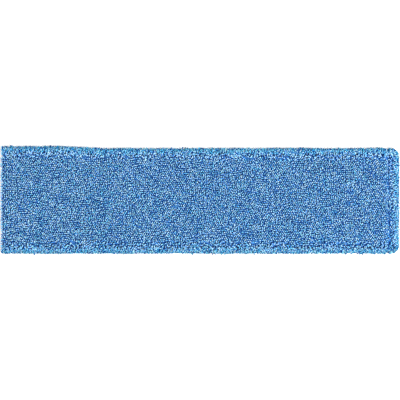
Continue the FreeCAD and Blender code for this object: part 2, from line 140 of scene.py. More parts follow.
# ---- the stage ------------------------------------------------------------------------------------------
VIEW_TO_PAD = 160 / 159
VIEW_MIDDLE_Y = 0.0012
WORLD_STRENGTH = 0.78


def smoothstep(low, high, value):
    """0 below low, 1 above high, and a smooth rise between."""
    share = np.clip((value - low) / (high - low), 0, 1)
    return share * share * (3 - 2 * share)


def press(x):
    """How far the sewing pulls the upper layers down at x."""
    seam = np.exp(-0.5 * ((x - TOPSTITCH_X) / PRESS_REACH) ** 2)
    left_end = 1 - smoothstep(CLOTH_LEFT, LEFT_PRESS_START, x)
    return PRESS_DEPTH * (seam + left_end)


def at_left_end(x):
    """1 at the cut left end of the cloths, 0 past its reach."""
    return 1 - smoothstep(CLOTH_LEFT, CLOTH_LEFT + LEFT_REACH, x)


def crease(x):
    """Where the pile lies a little flatter across the pad, from folding, and where its tint carries painted
    shade.
    """
    marks = ((-0.194, 0.004), (-0.115, 0.006), (0.150, 0.003))
    return sum(np.exp(-0.5 * ((x - place) / reach) ** 2) for place, reach in marks)


def settle(points):
    """Widen the pad to the rear near its closed left end, and let its long edges wander a little."""
    x, y = points[..., 0], points[..., 1]
    flare = LEFT_FLARE * (1 - smoothstep(FLARE_FULL_X, FLARE_NONE_X, x))
    rear_share = (y / CLOTH_HALF + 1) / 2
    wander = EDGE_WANDER * (np.sin(x * 61 + 0.4) + 0.6 * np.sin(x * 143 + 2.0))
    moved = points.copy()
    moved[..., 1] += flare * rear_share + wander * y / CLOTH_HALF
    return moved


# ---- mesh helpers ---------------------------------------------------------------------------------------
def build_mesh(name, points, faces, material, smooth=True, values=None, bake_map=None):
    """A mesh object from points and lists of equal-sided faces.

    values holds numbers for each point by name, and bake_map a place for each corner."""
    mesh = bpy.data.meshes.new(name)
    mesh.vertices.add(len(points))
    mesh.vertices.foreach_set("co", np.asarray(points, dtype=np.float32).ravel())
    corners = np.concatenate([np.asarray(group).ravel() for group in faces])
    sides = np.concatenate([np.full(len(group), np.asarray(group).shape[1]) for group in faces])
    mesh.loops.add(len(corners))
    mesh.loops.foreach_set("vertex_index", corners.astype(np.int32))
    mesh.polygons.add(len(sides))
    mesh.polygons.foreach_set("loop_start", np.concatenate([[0], np.cumsum(sides)[:-1]]).astype(np.int32))
    mesh.update(calc_edges=True)
    mesh.validate()
    mesh.polygons.foreach_set("use_smooth", np.full(len(sides), smooth))
    for key, numbers in (values or {}).items():
        layer = mesh.attributes.new(key, "FLOAT", "POINT")
        layer.data.foreach_set("value", np.asarray(numbers, dtype=np.float32).ravel())
    if bake_map is not None:
        layer = mesh.uv_layers.new(name="OFBake")
        layer.data.foreach_set("uv", np.asarray(bake_map, dtype=np.float32).ravel())
    mesh.materials.append(material)
    piece = bpy.data.objects.new(name, mesh)
    bpy.context.collection.objects.link(piece)
    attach(piece, "root")
    return piece


def grid_faces(rows, columns, flip=False):
    """The quads of a grid of points that is stored row by row."""
    index = np.arange(rows * columns).reshape(rows, columns)
    here, there = index[:-1], index[1:]
    quads = np.stack([here[:, :-1], here[:, 1:], there[:, 1:], there[:, :-1]], axis=-1).reshape(-1, 4)
    return quads[:, ::-1] if flip else quads


def unit(vectors):
    """Vectors of length one."""
    return vectors / np.maximum(np.linalg.norm(vectors, axis=-1, keepdims=True), 1e-12)


def tubes(lines, across, radii, sides):
    """Round tubes along lines of equally many points.  across is a direction that no line runs along."""
    count, steps, _ = lines.shape
    along = unit(np.gradient(lines, axis=1))
    first = unit(np.cross(across, along))
    second = np.cross(along, first)
    angles = np.arange(sides) * 2 * math.pi / sides
    ring = (first[:, :, None] * np.cos(angles)[:, None] + second[:, :, None] * np.sin(angles)[:, None])
    points = lines[:, :, None] + ring * radii[:, :, None, None]
    index = np.arange(count * steps * sides).reshape(count, steps, sides)
    here, there = index[:, :-1], index[:, 1:]
    quads = np.stack([here, np.roll(here, -1, 2), np.roll(there, -1, 2), there], axis=-1).reshape(-1, 4)
    caps = np.concatenate([index[:, 0, ::-1], index[:, -1]])
    return points.reshape(-1, 3), [quads, caps]


# ---- materials ------------------------------------------------------------------------------------------
def linear(red, green, blue):
    """An sRGB colour in 0 to 255 as the linear colour that a shader takes."""
    channels = [((c / 255 + 0.055) / 1.055) ** 2.4 if c > 10 else c / 3294.6 for c in (red, green, blue)]
    return (*channels, 1)


class Nodes:
    """Short calls for one material's nodes."""

    def __init__(self, name, roughness, sheen=0.0, sheen_colour=(1, 1, 1, 1), specular=0.3):
        self.material = bpy.data.materials.new(name)
        self.material.use_nodes = True
        self.tree = self.material.node_tree
        self.shader = self.tree.nodes["Principled BSDF"]
        self.shader.inputs["Roughness"].default_value = roughness
        self.shader.inputs["Specular IOR Level"].default_value = specular
        self.shader.inputs["Sheen Weight"].default_value = sheen
        self.shader.inputs["Sheen Roughness"].default_value = 0.4
        self.shader.inputs["Sheen Tint"].default_value = sheen_colour

    def add(self, kind, links=(), **settings):
        """A node with its settings, and links from other sockets to its inputs by name or number."""
        node = self.tree.nodes.new(kind)
        for key, value in settings.items():
            setattr(node, key, value)
        for key, value in dict(links).items():
            if isinstance(value, bpy.types.NodeSocket):
                self.tree.links.new(value, node.inputs[key])
            else:
                node.inputs[key].default_value = value
        return node

    def link(self, socket, name):
        """Feed one of the shader's inputs."""
        self.tree.links.new(socket, self.shader.inputs[name])

    def place(self):
        """Where a point is on the object, in metres."""
        return self.add("ShaderNodeTexCoord").outputs["Object"]

    def noise(self, scale, detail):
        """Fine cloudy values."""
        links = {"Vector": self.place(), "Scale": scale, "Detail": detail}
        return self.add("ShaderNodeTexNoise", links).outputs["Fac"]

    def ramp(self, value, stops):
        """Colours for values, from pairs of place and colour."""
        node = self.add("ShaderNodeValToRGB", {"Fac": value})
        band = node.color_ramp
        band.elements[0].position, band.elements[0].color = stops[0]
        band.elements[1].position, band.elements[1].color = stops[-1]
        for place, colour in stops[1:-1]:
            band.elements.new(place).color = colour
        return node.outputs["Color"]

    def mix(self, share, first, second, blend="MIX"):
        """Two colours mixed."""
        node = self.add("ShaderNodeMix", data_type="RGBA", blend_type=blend)
        for key, value in ((0, share), (6, first), (7, second)):
            if isinstance(value, bpy.types.NodeSocket):
                self.tree.links.new(value, node.inputs[key])
            else:
                node.inputs[key].default_value = value
        return node.outputs[2]

    def bump(self, height, distance, strength):
        """Relief from a height value."""
        node = self.add("ShaderNodeBump", {"Height": height, "Distance": distance, "Strength": strength})
        self.link(node.outputs["Normal"], "Normal")


def pile_material():
    """Blue microfibre: each ply in its own shade, with painted shade as deep blue at the loops' roots and as
    grey on the edges.
    """
    nodes = Nodes("pile_microfibre", 0.85, sheen=0.15, sheen_colour=linear(190, 215, 240), specular=0.12)
    # tint carries each ply's tone together with painted shade and painted light.
    tint = nodes.add("ShaderNodeAttribute", attribute_name="tint").outputs["Fac"]
    rise = nodes.add("ShaderNodeAttribute", attribute_name="rise").outputs["Fac"]
    shade = nodes.ramp(tint, [
        (0.0, linear(0, 64, 156)),
        (0.25, linear(8, 149, 242)),
        (0.5, linear(66, 199, 248)),
        (0.75, linear(132, 221, 248)),
        (0.92, linear(186, 236, 249)),
        (1.0, linear(208, 242, 250)),
    ])
    # Painted shade: the loops turn deep blue towards their roots, where shade falls between them.
    depth = nodes.ramp(rise, [(0.0, (0, 0, 0, 1)), (0.75, (1, 1, 1, 1))])
    body = nodes.mix(depth, linear(2, 66, 168), shade)
    fleck = nodes.ramp(nodes.noise(2600, 2.0), [(0.35, linear(205, 215, 228)), (0.62, (1, 1, 1, 1))])
    # Painted shade: loops on the rolled edges are drawn greyer and darker.
    edge = nodes.add("ShaderNodeAttribute", attribute_name="edge").outputs["Fac"]
    edge_painted_shade = nodes.ramp(edge, [(0.3, (1, 1, 1, 1)), (1.0, linear(206, 204, 191))])
    flecked = nodes.mix(0.8, body, fleck, "MULTIPLY")
    nodes.link(nodes.mix(1.0, flecked, edge_painted_shade, "MULTIPLY"), "Base Color")
    nodes.bump(nodes.noise(3400, 1.0), 0.0002, 0.6)
    return nodes.material


def cloth_material(name, dark, light, scale, relief):
    """A plain cloth with a knitted or needled surface at one scale."""
    nodes = Nodes(name, 0.9, sheen=0.2)
    fine = nodes.noise(scale, 3.0)
    broad = nodes.noise(scale / 40, 2.0)
    colour = nodes.ramp(fine, [(0.3, dark), (0.7, light)])
    shade = nodes.ramp(broad, [(0.3, linear(225, 225, 228)), (0.7, (1, 1, 1, 1))])
    nodes.link(nodes.mix(1.0, colour, shade, "MULTIPLY"), "Base Color")
    nodes.bump(fine, relief, 0.8)
    return nodes.material


def knit_material(name, dark, light, pitch, relief):
    """A warp knit: rows of small loops across the cloth."""
    nodes = Nodes(name, 0.85, sheen=0.3)
    place = nodes.place()
    bands = math.pi / 10
    across = {"Vector": place, "Scale": bands / pitch, "Distortion": 1.5}
    along = {"Vector": place, "Scale": bands / pitch / 1.4, "Distortion": 1.0}
    ribs = nodes.add("ShaderNodeTexWave", across, wave_type="BANDS", bands_direction="Y")
    courses = nodes.add("ShaderNodeTexWave", along, wave_type="BANDS", bands_direction="X")
    loops = nodes.add("ShaderNodeMath", {0: ribs.outputs["Fac"], 1: courses.outputs["Fac"]},
                      operation="MULTIPLY").outputs[0]
    fuzz = nodes.noise(5200, 3.0)
    height = nodes.add("ShaderNodeMath", {0: loops, 1: fuzz}, operation="ADD").outputs[0]
    colour = nodes.ramp(height, [(0.3, dark), (1.0, light)])
    nodes.link(colour, "Base Color")
    nodes.bump(height, relief, 0.7)
    return nodes.material


def foam_material():
    """Open-cell foam: small pits in a cream block."""
    nodes = Nodes("foam_cells", 0.95)
    cells = nodes.add("ShaderNodeTexVoronoi", {"Vector": nodes.place(), "Scale": 1400.0}).outputs["Distance"]
    colour = nodes.ramp(cells, [(0.1, linear(176, 168, 148)), (0.6, linear(228, 221, 203))])
    nodes.link(colour, "Base Color")
    nodes.bump(cells, 0.0003, 1.0)
    return nodes.material


def thread_material(name, dark, light):
    """Twisted sewing thread."""
    nodes = Nodes(name, 0.55, sheen=0.3, specular=0.4)
    twist = nodes.add("ShaderNodeTexWave", {"Vector": nodes.place(), "Scale": 260.0, "Distortion": 2.0},
                      wave_type="BANDS", bands_direction="DIAGONAL").outputs["Fac"]
    nodes.link(nodes.ramp(twist, [(0.2, dark), (0.8, light)]), "Base Color")
    nodes.bump(twist, 0.0001, 0.8)
    return nodes.material


PILE_MATERIAL = pile_material()
GROUND_MATERIAL = knit_material("ground_knit", linear(30, 96, 176), linear(58, 132, 206), 0.0011, 0.0003)
FLEECE_MATERIAL = cloth_material("needled_fleece", linear(196, 200, 202), linear(236, 238, 238),
                                 2400, 0.0004)
BACKING_MATERIAL = knit_material("brushed_backing", linear(168, 172, 178), linear(228, 231, 233),
                                 0.0010, 0.0004)
FOAM_MATERIAL = foam_material()
BLUE_THREAD = thread_material("blue_thread", linear(30, 76, 140), linear(76, 128, 190))
WHITE_THREAD = thread_material("white_thread", linear(190, 192, 192), linear(236, 236, 234))
LABEL_MATERIAL = knit_material("woven_label", linear(214, 214, 210), linear(244, 244, 240), 0.0004, 0.00006)


# ---- the pile's loops -----------------------------------------------------------------------------------
def roll_over(plan):
    """Lay flat plan points over the pad's rolled edges.

    Gives places, the loops' directions, how far those tip outwards, and the angle that each place has rolled
    through."""
    corner = CORNER_RADIUS - GROUND_ROLL / 2
    core = np.array([CLOTH_RIGHT - GROUND_ROLL - corner, CLOTH_HALF - GROUND_ROLL - corner])
    past = np.stack([plan[:, 0] - core[0], np.abs(plan[:, 1]) - core[1]], axis=1)
    softened = np.maximum(past + TIP_REACH, 0)
    outward = np.where((past > 0).any(axis=1, keepdims=True), np.maximum(past, 0), softened)
    beyond = np.linalg.norm(np.maximum(past, 0), axis=1)
    distance = np.where(beyond > 0, beyond, past.max(axis=1)) - corner
    side = np.where(plan[:, 1] < 0, -1, 1)
    direction = unit(outward) * np.stack([np.ones(len(plan)), side], axis=1)
    rolled = np.clip(distance, 0, None) / FAN_RADIUS
    tipped = np.where(distance > 0, TIP_START + rolled * (1 - TIP_START / FAN_ANGLE),
                      TIP_START * smoothstep(-TIP_REACH, TIP_REACH, distance) * 2)
    edge = plan - direction * np.clip(distance, 0, None)[:, None]
    places = np.column_stack([edge + direction * (GROUND_ROLL * np.sin(rolled))[:, None],
                              GROUND_HIGH[2] - GROUND_ROLL * (1 - np.cos(rolled))])
    normals = np.column_stack([direction * np.sin(tipped)[:, None], np.cos(tipped)])
    return places, normals, tipped, rolled


def loop_roots(rng):
    """Where each loop leaves the ground cloth, the way it points, how far that tips outwards, and its row.

    Between the rows of the rolled edges stand extra loops, which fill what opens there."""
    reach = FAN_ANGLE * FAN_RADIUS
    half = CLOTH_HALF - GROUND_ROLL + reach
    row_count = int(2 * half / WALE_PITCH) + 1
    xs = np.arange(FIRST_COURSE, CLOTH_RIGHT - GROUND_ROLL + reach, COURSE_PITCH / 2)
    ys = (np.arange(row_count) - (row_count - 1) / 2) * WALE_PITCH
    x, y = np.meshgrid(xs, ys)
    row = np.repeat(np.arange(row_count), len(xs))
    extra = np.tile(np.arange(len(xs)) % 2 == 1, row_count)
    plan = np.column_stack([x.ravel(), y.ravel()])
    plan[:, 0] += (row % 2) * COURSE_PITCH / 2 + rng.uniform(-0.2, 0.2, row_count)[row] * COURSE_PITCH
    plan[:, 1] += extra * WALE_PITCH / 2
    near_edge = np.maximum(np.abs(plan[:, 1]) - CLOTH_HALF, plan[:, 0] - CLOTH_RIGHT) > -EDGE_BAND
    scatter = np.where(near_edge, EDGE_SCATTER, MIDDLE_SCATTER)[:, None]
    plan += rng.uniform(-scatter, scatter, plan.shape) * (COURSE_PITCH, WALE_PITCH)
    plan[:, 1] += ROW_SHIFT * drift(plan, rng)
    first = np.tile(np.arange(len(xs)) == 0, row_count)
    plan[first, 0] = CLOTH_LEFT + YARN_RADIUS * rng.uniform(0.4, 1.4, first.sum())
    plan[:, 0] = np.maximum(plan[:, 0], CLOTH_LEFT + YARN_RADIUS * 0.4)
    places, normals, tipped, rolled = roll_over(plan)
    keep = (rolled <= FAN_ANGLE) & (~extra | (tipped > rng.uniform(0, 2 * DENSE_ANGLE, len(tipped))))
    return places[keep], normals[keep], tipped[keep], row[keep]


def drift(places, rng):
    """A slow change over a few centimetres, for how the pile leans and how its rows wander."""
    x, y = places[:, 0], places[:, 1]
    total = np.zeros(len(places))
    for wave in rng.uniform(-1, 1, (7, 2)) * (240, 300):
        total += np.sin(x * wave[0] + y * wave[1] + rng.uniform(0, 2 * math.pi))
    return total / 2.6


def loop_heights(places, tipped, rim, rng):
    """How tall each loop stands: uneven, and shorter on the rolled edges, at the seam and at the creases."""
    count = len(places)
    upright = np.cos(np.clip(tipped, 0, math.pi / 2))
    height = SIDE_PILE + (PILE_HEIGHT - YARN_RADIUS - SIDE_PILE) * upright
    height *= 1 - 0.14 * np.clip(tipped - math.pi / 2, 0, None)
    height *= rng.uniform(*LOOP_HEIGHTS, count)
    height *= 1 + STRAY_HEIGHT * rim * np.maximum(rng.normal(0, 1, count) - 0.5, 0)
    seam = np.exp(-0.5 * ((places[:, 0] - TOPSTITCH_X) / SEAM_REACH) ** 2)
    return height * (1 - 0.5 * seam - 0.04 * crease(places[:, 0]))


def loop_axes(normals, rng):
    """Two directions along the cloth at each loop, then the one it opens along and the one across that."""
    azimuth = rng.uniform(0, 2 * math.pi, len(normals))
    reference = np.where(np.abs(normals[:, 2:]) < 0.9, [0.0, 0.0, 1.0], [1.0, 0.0, 0.0])
    east = unit(np.cross(reference, normals))
    north = np.cross(normals, east)
    spread = east * np.cos(azimuth)[:, None] + north * np.sin(azimuth)[:, None]
    return east, north, spread, np.cross(normals, spread)


def loop_leans(places, rim, east, north, slow, rng):
    """How far each loop's top leans: at random, with its neighbours, down on the edges, out at the left."""
    turn = rng.uniform(0, 2 * math.pi, len(places))
    lean = east * np.cos(turn)[:, None] + north * np.sin(turn)[:, None]
    lean = lean * rng.uniform(0.0, MOST_LEAN, len(places))[:, None] + slow * SLOW_LEAN
    lean *= (1 - 0.6 * rim)[:, None]
    lean[:, 2] -= RIM_LEAN * rim
    lean[:, 0] -= LEFT_LEAN * at_left_end(places[:, 0])
    return lean


def loop_tints(places, tipped, rim, rng):
    """A tone from 0, deep, to 1, pale, for both plies of each loop: random, with painted shade on the rims,
    the rear rim, the left end and the creases, and painted light where the rear edge starts to roll.
    """
    # Random tone, with painted shade across the creases.
    tint = rng.normal(MIDDLE_TINT, TINT_SPREAD + RIM_SPREAD * rim) - CREASE_PAINTED_SHADE * crease(places[:, 0])
    # Painted shade on the rolled edges, deepest where the loops point down.
    tint -= RIM_PAINTED_SHADE * rim + LOW_RIM_PAINTED_SHADE * smoothstep(0.8, 1.5, tipped)
    # Painted light in a band where the rear edge starts to roll, and painted shade on the rear rim.
    rear = smoothstep(-0.02, 0.02, places[:, 1])
    rim_start = smoothstep(0, 0.06, tipped) * (1 - smoothstep(0.1, 0.4, tipped))
    tint += rear * (REAR_PAINTED_LIGHT * rim_start - REAR_RIM_PAINTED_SHADE * rim)
    # Painted shade along the left end.
    tint -= LEFT_PAINTED_SHADE * at_left_end(places[:, 0])
    return np.clip(tint[:, None] + PLY_TINTS, 0, 1)


def make_pile():
    """Every loop of the pile as a leaning arch of two-ply yarn, gathered into pieces of a few yarn rows."""
    rng = np.random.default_rng(SEED)
    places, normals, tipped, row = loop_roots(rng)
    count = len(places)
    slow = np.column_stack([drift(places, rng), drift(places, rng), np.zeros(count)])
    places[:, 2] -= press(places[:, 0])
    rim = np.sin(np.clip(tipped, 0, math.pi / 2))
    height = loop_heights(places, tipped, rim, rng)
    east, north, spread, across = loop_axes(normals, rng)
    lean = loop_leans(places, rim, east, north, slow, rng)

    along = np.linspace(0, math.pi, LOOP_POINTS)
    rise = np.sin(along) ** 0.6
    foot = rng.uniform(*LOOP_FEET, count)[:, None]
    width = LOOP_WIDTH / 2 * rng.uniform(*LOOP_WIDTHS, count)[:, None]
    open_part = -np.cos(along) * (foot + 1.25 * (width - foot) * np.sin(along) ** 0.8)
    sway = np.sin(2 * along) * rng.uniform(-MOST_SWAY, MOST_SWAY, count)[:, None]
    twist = rise * rng.uniform(-MOST_TWIST, MOST_TWIST, count)[:, None]
    sideways = open_part * np.cos(twist) - sway * np.sin(twist)
    inward = open_part * np.sin(twist) + sway * np.cos(twist)
    lines = (places[:, None]
             + normals[:, None] * ((height[:, None] + ROOT_DEPTH) * rise - ROOT_DEPTH)[:, :, None]
             + spread[:, None] * sideways[:, :, None]
             + across[:, None] * inward[:, :, None]
             + lean[:, None] * (rise ** 1.8)[None, :, None])
    plies = ply_lines(settle(lines), across, rng)
    tints = loop_tints(places, tipped, rim, rng)
    for number, rows in enumerate(grouped(np.bincount(row))):
        chosen = np.isin(row, rows)
        name = f"pile_yarns_{number + 1:02d}"
        pile_piece(name, plies[chosen], across[chosen], tints[chosen], rim[chosen], rise)


def grouped(counts):
    """Neighbouring rows in groups of at most MOST_LOOPS loops."""
    groups, total = [[]], 0
    for row, count in enumerate(counts):
        if groups[-1] and total + count > MOST_LOOPS:
            groups.append([])
            total = 0
        groups[-1].append(row)
        total += count
    return groups


def ply_lines(lines, across, rng):
    """The centre lines of the plies that wind round each loop's centre line."""
    along = unit(np.gradient(lines, axis=1))
    first = unit(np.cross(across[:, None], along))
    second = np.cross(along, first)
    start = rng.uniform(0, 2 * math.pi, len(lines))[:, None, None]
    ply = np.arange(PLIES)[None, :, None] * 2 * math.pi / PLIES
    phase = start + ply + np.linspace(0, 2 * math.pi * PLY_TURNS, LOOP_POINTS)[None, None]
    offset = first[:, None] * np.cos(phase)[..., None] + second[:, None] * np.sin(phase)[..., None]
    wound = lines[:, None] + offset * PLY_OFFSET
    wound[..., 2] = np.maximum(wound[..., 2], 2 * PLY_RADIUS)
    return wound


def pile_piece(name, plies, across, tints, rim, rise):
    """One piece of the pile from its plies' centre lines.

    tints holds a shade for each ply.  rim is 1 for a loop that points sideways and 0 for one that stands.
    rise is how high a loop's points lie, from 0 at its root to 1 at its top."""
    count = len(plies) * PLIES
    lines = plies.reshape(count, LOOP_POINTS, 3)
    side = np.repeat(across, PLIES, axis=0)[:, None]
    points, faces = tubes(lines, side, np.full(lines.shape[:2], PLY_RADIUS), PLY_SIDES)
    values = {
        # tint holds each ply's tone with painted shade and painted light in it.
        "tint": np.repeat(tints.ravel(), LOOP_POINTS * PLY_SIDES),
        # edge is the mask of the painted grey shade on the rolled edges.
        "edge": np.repeat(rim, PLIES * LOOP_POINTS * PLY_SIDES),
        # rise places the painted root shade; loops that point sideways get less of it, and none when they
        # point fully sideways.
        "rise": np.repeat(np.maximum(rise, np.repeat(rim, PLIES)[:, None]).ravel(), PLY_SIDES),
    }
    piece = build_mesh(name, points, faces, PILE_MATERIAL, values=values, bake_map=strip_map(count))
    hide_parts("loop_pile")


def strip_map(count):
    """A bake map with a square for each ply: its unrolled side, and its two ends in a strip beside it."""
    across = math.ceil(math.sqrt(count))
    cell = 1 / across
    corner = np.stack([np.arange(count) % across, np.arange(count) // across], axis=1) * cell
    step = np.linspace(0.06, 0.82, LOOP_POINTS)
    turn = np.linspace(0.06, 0.94, PLY_SIDES + 1)
    quads = []
    for s in range(LOOP_POINTS - 1):
        for k in range(PLY_SIDES):
            quads.append([(step[s], turn[k]), (step[s], turn[k + 1]),
                          (step[s + 1], turn[k + 1]), (step[s + 1], turn[k])])
    quads = np.array(quads).reshape(1, -1, 2)
    angles = np.arange(PLY_SIDES) * 2 * math.pi / PLY_SIDES
    round_end = np.column_stack([np.cos(angles), np.sin(angles)]) * 0.035
    first = (round_end[::-1] + (0.92, 0.25))[None]
    last = (round_end + (0.92, 0.75))[None]
    shapes = (quads, first, last)
    return np.concatenate([(corner[:, None] + shape * cell).reshape(-1, 2) for shape in shapes])


# ---- the cloths and the core ----------------------------------------------------------------------------
def cloth_sheet(name, material, left, right, half, low, high, main_is_high, thickness, shape):
    """A cloth whose front, rear and right edges are folded through half a turn and in by the allowance.

    left, right and half bound its outer face; low and high are its outer faces' heights over the fold; shape
    moves the main part's heights."""
    wide, long = SHEET_GRID
    roll = (high - low - thickness) / 2
    middle = (high + low) / 2
    corner = max(CORNER_RADIUS - roll - thickness / 2, 0.0006)
    edge_x, edge_y = right - thickness / 2 - roll, half - thickness / 2 - roll
    turn = np.linspace(0, math.pi / 2, 6)[1:]
    xs = np.concatenate([np.linspace(left, edge_x - corner, long), edge_x - corner + corner * np.sin(turn)])
    halves = np.concatenate([np.full(long, edge_y), edge_y - corner + corner * np.cos(turn)])
    angles = np.concatenate([np.zeros(long), turn])
    share = np.linspace(-1, 1, wide + 1)
    sign = 1 if main_is_high else -1
    main = np.stack([np.repeat(xs[:, None], wide + 1, 1), halves[:, None] * share,
                     np.full((len(xs), wide + 1), middle + sign * roll)], axis=-1)
    main = shape(main)

    index = np.arange(main.shape[0] * main.shape[1]).reshape(main.shape[:2])
    rim = np.concatenate([index[:, 0], index[-1, 1:], index[-2::-1, -1]])
    rim_points = main.reshape(-1, 3)[rim]
    sides = wide - 1
    out = np.concatenate([
        np.column_stack([np.sin(angles), -np.cos(angles)]),
        np.tile([1.0, 0.0], (sides, 1)),
        np.column_stack([np.sin(angles), np.cos(angles)])[::-1],
    ])
    room_x = np.clip(edge_x - corner - rim_points[:, 0], 0, None)
    room_y = np.clip(edge_y - corner - np.abs(rim_points[:, 1]), 0, None)
    number = np.arange(len(rim))
    on_right = (number >= len(xs)) & (number < len(xs) + sides)
    room = np.where(on_right, room_y, room_x) + 0.6 * corner
    depth = np.minimum(ALLOWANCE - roll, room)
    skirt = []
    for angle in np.linspace(0, math.pi, 9)[1:]:
        level = middle + sign * roll * math.cos(angle)
        skirt.append(np.column_stack([rim_points[:, :2] + out * roll * math.sin(angle),
                                      np.full(len(rim), level)]))
    for step in (0.35, 0.7, 1.0):
        skirt.append(np.column_stack([rim_points[:, :2] - out * (depth * step)[:, None],
                                      np.full(len(rim), middle - sign * roll)]))
    skirt_index = np.arange(len(skirt) * len(rim)).reshape(len(skirt), -1) + index.size
    rows = np.concatenate([rim[None], skirt_index])
    faces = [grid_faces(*main.shape[:2], flip=not main_is_high),
             np.stack([rows[:-1, :-1], rows[1:, :-1], rows[1:, 1:], rows[:-1, 1:]], -1).reshape(-1, 4)]
    if not main_is_high:
        faces[1] = faces[1][:, ::-1]
    points = settle(np.concatenate([main.reshape(-1, 3)] + skirt))
    piece = build_mesh(name, points, faces, material)
    solid = piece.modifiers.new("thickness", "SOLIDIFY")
    solid.thickness = thickness
    solid.offset = 0
    fold = math.pi * roll + ALLOWANCE - roll
    width = 2 * (edge_y + fold)
    length = edge_x - left + fold
    return piece, (width, length)


def pressed_down(points):
    """The upper layers follow the sewing."""
    moved = points.copy()
    moved[..., 2] -= press(points[..., 0])
    return moved


def sewn_share(points):
    """How far the backing is squeezed: 1 under the stitches and the label, 0 where it is free."""
    x, y = points[..., 0], points[..., 1]
    rows = np.exp(-0.5 * ((x - TOPSTITCH_X) / TOPSTITCH_REACH) ** 2)
    rows = rows + np.exp(-0.5 * ((x - CLOSING_X) / CLOSING_REACH) ** 2)
    end = 1 - smoothstep(CLOTH_LEFT + LEFT_SEWN[0], CLOTH_LEFT + LEFT_SEWN[1], x)
    low, high = LABEL_LOW, LABEL_HIGH
    label = smoothstep(low[0] - LABEL_MARGIN, low[0], x)
    label = label * (1 - smoothstep(high[0], high[0] + LABEL_MARGIN, x))
    label = label * (1 - smoothstep(high[1], high[1] + LABEL_MARGIN, np.abs(y)))
    return np.clip(rows + end + label, 0, 1)


def backing_relief(points):
    """The backing's middle rises where it is squeezed thin, so that only its outer face dips."""
    moved = points.copy()
    moved[..., 2] += BACKING_THICKNESS * SQUEEZE / 2 * sewn_share(points)
    return moved


def squeeze(piece):
    """Make the backing thinner where it is sewn."""
    group = piece.vertex_groups.new(name="thickness")
    points = np.zeros(len(piece.data.vertices) * 3)
    piece.data.vertices.foreach_get("co", points)
    points = points.reshape(-1, 3)
    share = sewn_share(points) * (points[:, 2] < BACKING_THICKNESS)
    for number, value in enumerate(share):
        group.add([number], 1 - SQUEEZE * value, "REPLACE")
    piece.modifiers["thickness"].vertex_group = group.name


def make_cloths():
    """Ground cloth, fleece and backing."""
    ground, ground_cut = cloth_sheet("ground_cloth", GROUND_MATERIAL, CLOTH_LEFT, CLOTH_RIGHT, CLOTH_HALF,
                                     GROUND_LOW[2], GROUND_HIGH[2], True, GROUND_THICKNESS, pressed_down)
    fleece, fleece_cut = cloth_sheet("fleece_layer", FLEECE_MATERIAL, FLEECE_LOW[0], FLEECE_HIGH[0],
                                     FLEECE_HIGH[1], FLEECE_LOW[2], FLEECE_HIGH[2], True, FLEECE_THICKNESS,
                                     pressed_down)
    backing, backing_cut = cloth_sheet("backing_cloth", BACKING_MATERIAL, BACKING_LOW[0], BACKING_HIGH[0],
                                       BACKING_HIGH[1], BACKING_LOW[2], BACKING_HIGH[2], False,
                                       BACKING_THICKNESS, backing_relief)
    squeeze(backing)
    sheets = ((ground, ground_cut, "pile_ground_cloth", "pile_ground", ["fleece_layer"]),
              (fleece, fleece_cut, "fleece_interlining", "fleece", ["foam_block"]),
              (backing, backing_cut, "backing_panel", "backing", []))
    for piece, cut, node, slot, under in sheets:
        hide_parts(node)


def make_foam():
    """The foam block, pressed where the pad is sewn, with long edges left uneven by the knife."""
    long, wide, tall = 150, 26, 4
    x = np.linspace(FOAM_LOW[0] + 0.0002, FOAM_HIGH[0], long)
    y = np.linspace(FOAM_LOW[1], FOAM_HIGH[1], wide)
    ring_y = np.concatenate([y, np.full(tall, y[-1]), y[::-1], np.full(tall, y[0])])
    levels = np.linspace(1, 0, tall + 2)[1:-1]
    ring_level = np.concatenate([np.ones(wide), levels, np.zeros(wide), levels[::-1]])
    rng = np.random.default_rng(SEED + 1)
    points = np.zeros((long, len(ring_y), 3))
    points[..., 0] = x[:, None]
    nibbled = rng.uniform(-FOAM_NIBBLE, FOAM_NIBBLE, (long, len(ring_y)))
    points[..., 1] = ring_y + nibbled * (np.abs(ring_y) > y[-2])
    top = FOAM_HIGH[2] - press(x)[:, None]
    points[..., 2] = FOAM_LOW[2] + (top - FOAM_LOW[2]) * ring_level
    count = len(ring_y)
    index = np.arange(long * count).reshape(long, count)
    wrapped = np.concatenate([index, index[:, :1]], axis=1)
    here, there = wrapped[:-1], wrapped[1:]
    body = np.stack([here[:, :-1], here[:, 1:], there[:, 1:], there[:, :-1]], -1).reshape(-1, 4)
    ends = np.stack([index[0][::-1], index[-1]])
    points = settle(points.reshape(-1, 3))
    piece = build_mesh("foam_block", points, [body, ends], FOAM_MATERIAL, smooth=False)
    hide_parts("foam_core")


# ---- threads --------------------------------------------------------------------------------------------
def thread(name, lines, node, material, radius=THREAD_RADIUS, across=(1.0, 0.0, 0.0)):
    """A sewing thread along one or more lines."""
    lines = settle(np.asarray(lines, dtype=float))
    radii = np.full(lines.shape[:2], radius)
    points, faces = tubes(lines, np.asarray(across), radii, 8)
    piece = build_mesh(name, points, faces, material)
    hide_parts(node)


def stitch_line(start, end, x, face, dive, pitch=STITCH_PITCH):
    """A lockstitch thread across the pad at x: on the cloth's face between holes, into it at each hole."""
    count = int((end - start) / pitch)
    per_stitch = 10
    steps = np.arange(count * per_stitch + 1)
    phase = steps / per_stitch
    y = start + phase * pitch
    on_face = np.abs(np.sin(math.pi * phase)) ** 0.35
    z = face + dive * (1 - on_face)
    return np.column_stack([np.full(len(y), x), y, z])


